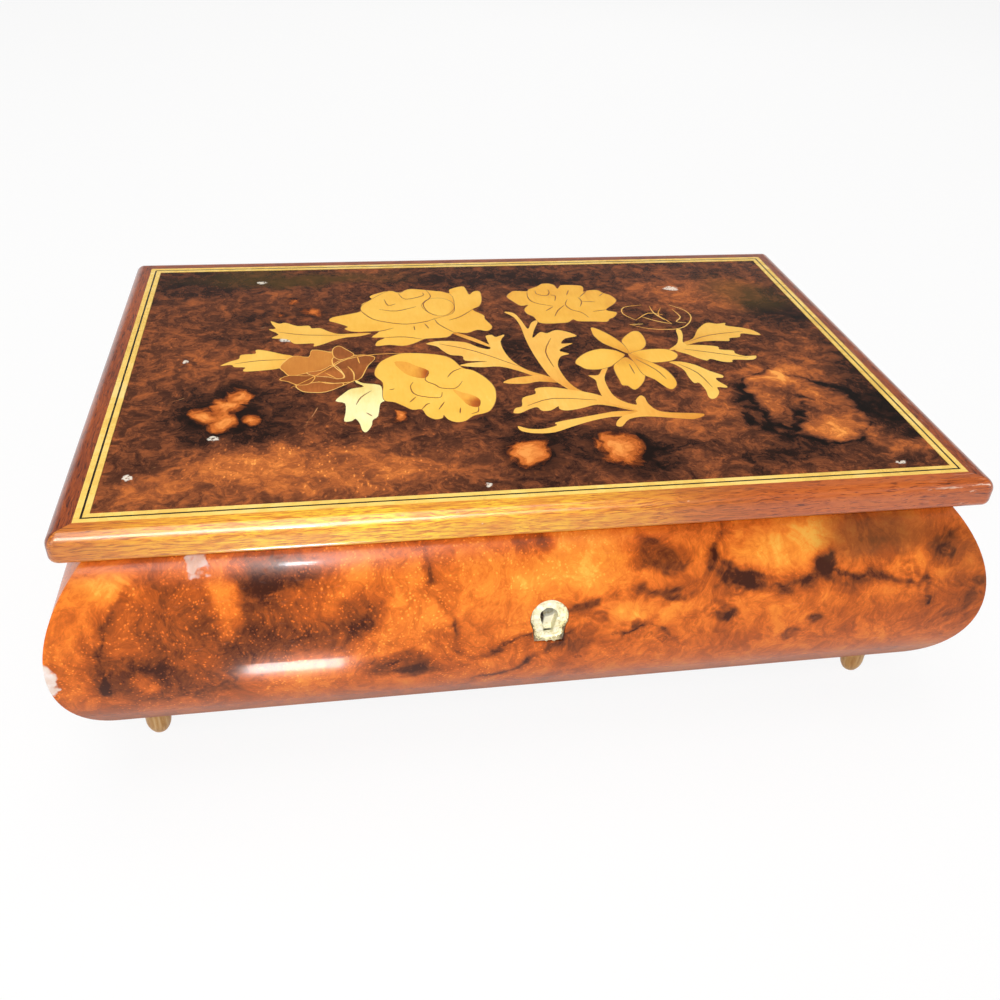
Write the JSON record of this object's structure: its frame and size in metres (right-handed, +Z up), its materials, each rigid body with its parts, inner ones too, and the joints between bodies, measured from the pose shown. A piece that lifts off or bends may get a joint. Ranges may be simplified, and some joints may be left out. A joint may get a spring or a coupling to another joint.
{
  "type": "wind up music box",
  "caption": "Wooden music box with swelling front and sides, hinged inlaid lid, peg feet, lock, lined tray and a wound cylinder movement under a clear cover.",
  "frame": {"origin": "centre of the bounding box on the plane the feet stand on", "axes": "+X to the right along the front, +Y from front to back, +Z up"},
  "size_m": [0.242, 0.1652, 0.0804],
  "materials": {
    "case_burl": "high gloss lacquer over amber burl",
    "lid_burl": "high gloss lacquer over dark burl",
    "lip_wood": "high gloss red-brown hardwood",
    "light_inlay": "gloss pale yellow wood",
    "dark_inlay": "gloss black-dyed wood",
    "carcass": "plain pale wood",
    "foot_wood": "satin pale amber wood",
    "velvet": "short pile",
    "felt": "baize",
    "brass": "worn",
    "steel": "satin",
    "clear": "clear sheet"
  },
  "bodies": {
    "case": {"front_wall": "carcass", "back_wall": "carcass", "left_wall": "carcass", "right_wall": "carcass", "base_board": "carcass", "front_veneer": "case_burl", "back_veneer": "case_burl", "left_veneer": "case_burl", "right_veneer": "case_burl", "base_felt": "felt", "feet": "foot_wood", "keyhole_liner": "brass", "lock_case": "brass", "divider": "carcass", "cover_ledges": "carcass", "movement_cover": "clear", "lining_floor": "velvet", "lining_sides": "velvet", "hinge_leaves_case": "brass", "hinge_pins": "brass", "hinge_screws_case": "brass", "bedplate": "brass", "bedplate_screws": "steel", "comb": "steel", "comb_base": "brass", "comb_screws": "steel", "front_bearing": "brass", "back_bearing": "brass", "governor_frame": "brass"},
    "lid": {"lid_board": "carcass", "lid_lip_front": "lip_wood", "lid_lip_back": "lip_wood", "lid_lip_left": "lip_wood", "lid_lip_right": "lip_wood", "strings_light": "light_inlay", "string_dark": "dark_inlay", "lid_veneer": "lid_burl", "lid_lining": "velvet", "hinge_leaves_lid": "brass", "hinge_screws_lid": "brass", "lid_catch": "brass", "marquetry_flowers": "light_inlay", "marquetry_leaves": "light_inlay"},
    "winder": {"winding_arbor": "steel", "winding_key": "steel"},
    "barrel": {"spring_barrel": "brass", "barrel_cap": "brass", "mainspring": "steel"},
    "cylinder": {"cylinder_shell": "brass", "cylinder_arbor": "steel", "cylinder_pins": "steel", "drive_pinion": "brass", "train_gear": "brass"},
    "governor": {"governor_arbor": "steel", "governor_pinion": "steel", "worm_wheel": "brass"},
    "fly": {"worm_shaft": "steel", "fan": "brass"},
    "stop": {"stop_rod": "steel"},
    "bolt": {"lock_bolt": "brass"}
  },
  "joints": [
    {"name": "lid_hinge", "type": "hinge", "parent": "case", "child": "lid", "pos_m": [0, 0.081, 0.07255], "axis": [-1, 0, 0], "range_deg": [0, 100]},
    {"name": "stop_lift", "type": "slide", "parent": "case", "child": "stop", "axis": [0, 0, 1], "range_m": [0, 0.005]},
    {"name": "key_wind", "type": "hinge", "parent": "case", "child": "winder", "pos_m": [-0.062, -0.024, 0], "axis": [0, 0, 1], "range_deg": [0, 1890]},
    {"name": "cylinder_turn", "type": "hinge", "parent": "case", "child": "cylinder", "pos_m": [-0.062, 0, 0.0339], "axis": [0, 1, 0], "continuous": true},
    {"name": "barrel_turn", "type": "hinge", "parent": "case", "child": "barrel", "pos_m": [-0.062, -0.024, 0], "axis": [0, 0, 1], "continuous": true},
    {"name": "governor_turn", "type": "hinge", "parent": "case", "child": "governor", "pos_m": [-0.06986, 0.0401, 0.02839], "axis": [0, 1, 0], "continuous": true},
    {"name": "fly_turn", "type": "hinge", "parent": "case", "child": "fly", "pos_m": [-0.07626, 0.0441, 0], "axis": [0, 0, 1], "continuous": true},
    {"name": "bolt_slide", "type": "slide", "parent": "case", "child": "bolt", "axis": [1, 0, 0], "range_m": [0, 0.0045]}
  ],
  "couplings": [
    {"joint": "stop_lift", "follows": "lid_hinge", "m_per_rad": 0.0028619},
    {"joint": "cylinder_turn", "follows": "barrel_turn", "ratio": 2},
    {"joint": "governor_turn", "follows": "barrel_turn", "ratio": -6},
    {"joint": "fly_turn", "follows": "barrel_turn", "ratio": 144}
  ]
}
